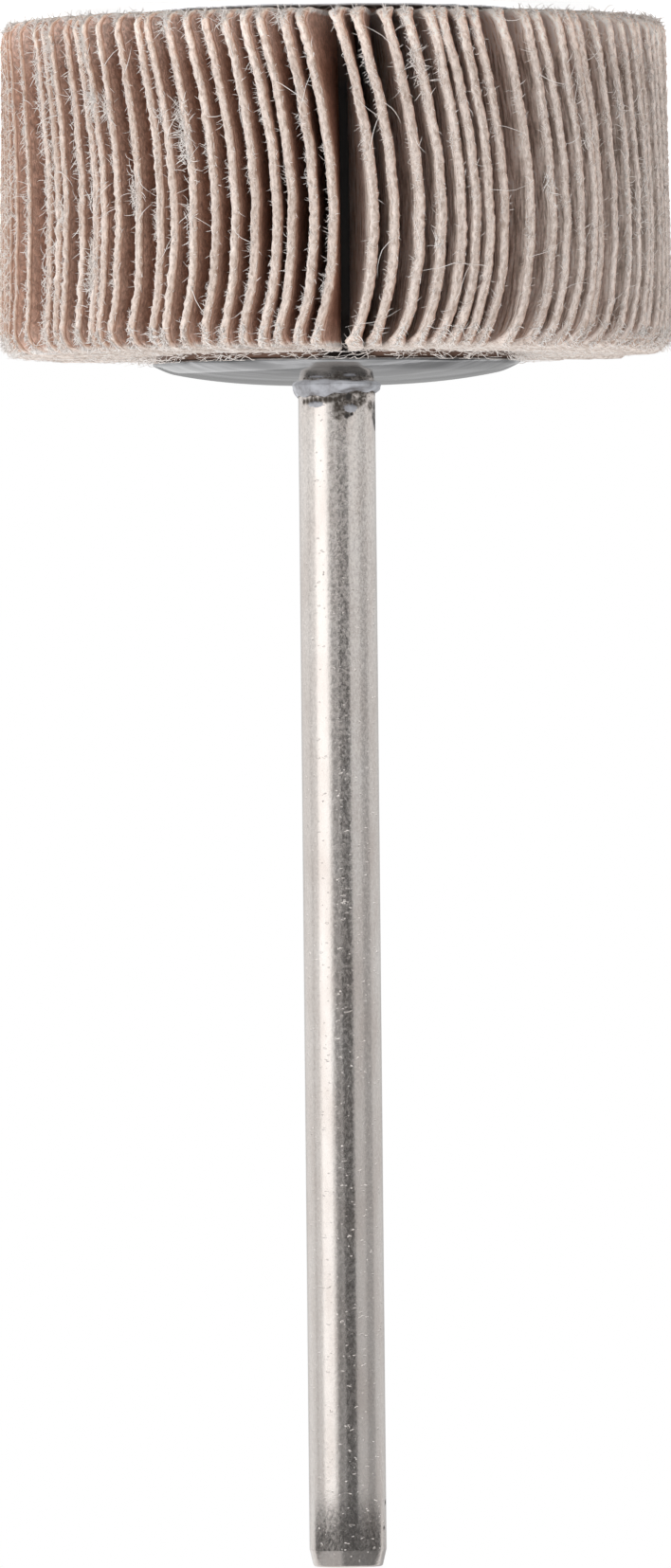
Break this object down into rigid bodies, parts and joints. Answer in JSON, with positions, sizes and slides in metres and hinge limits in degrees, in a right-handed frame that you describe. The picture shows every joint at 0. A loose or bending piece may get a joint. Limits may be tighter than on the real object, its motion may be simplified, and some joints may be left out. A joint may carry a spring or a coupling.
{
  "type": "mounted flap wheel",
  "caption": "Small abrasive flap wheel on a plain straight shank, with cloth flaps cast in a hub between two steel washers.",
  "frame": {"origin": "on the bench, under the middle of the head-side washer, on the wheel's axis", "axes": "+Z along the axis, from the wheel's head towards the free end of the shank; +X square to it, a quarter turn from the wide slit in the flaps"},
  "size_m": [0.0262, 0.0262, 0.0607],
  "materials": {
    "abrasive_cloth": "stiff abrasive cloth, brown grit on one face, pale cotton back and frayed cut edges",
    "bright_steel": "bright drawn steel, fine lengthwise streaks and small pits",
    "washer_steel": "satin plated sheet steel",
    "adhesive": "cured grey-white adhesive, semi-gloss and uneven"
  },
  "bodies": {
    "root": {"flap_pack": "abrasive_cloth", "shank": "bright_steel", "head_washer": "washer_steel", "shank_washer": "washer_steel", "adhesive_bead": "adhesive"}
  },
  "joints": []
}
